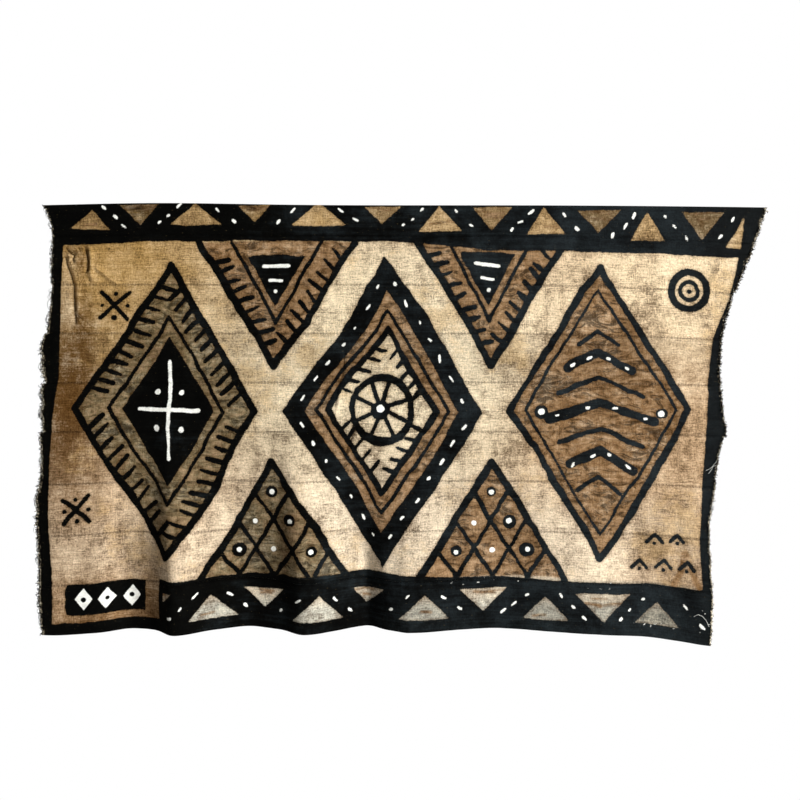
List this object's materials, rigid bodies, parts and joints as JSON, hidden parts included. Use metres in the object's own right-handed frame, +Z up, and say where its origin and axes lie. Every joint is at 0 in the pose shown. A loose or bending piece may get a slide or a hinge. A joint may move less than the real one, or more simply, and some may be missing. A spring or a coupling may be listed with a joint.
{
  "type": "mud cloth wall hanging",
  "caption": "Hand-woven cotton mud cloth of sewn strips, hung from its folded top edge, with a dark zigzag border and soft folds towards its lower edge.",
  "frame": {"origin": "middle of the top edge, in the plane of the back of the folded hem, where it lies on a wall", "axes": "+Z up, +X to the right as the painted face is seen, +Y towards the wall; the painted face looks along -Y"},
  "size_m": [1.6921, 0.043, 1.0251],
  "materials": {
    "border_cotton": "matt hand-woven cotton painted black with tan and white marks",
    "earth_cotton": "matt hand-woven cotton dyed in earth tones"
  },
  "bodies": {
    "root": {"strip_1": "border_cotton", "strip_2": "earth_cotton", "strip_3": "earth_cotton", "strip_4": "earth_cotton", "strip_5": "earth_cotton", "strip_6": "earth_cotton", "strip_7": "earth_cotton", "strip_8": "earth_cotton", "strip_9": "border_cotton"}
  },
  "joints": []
}
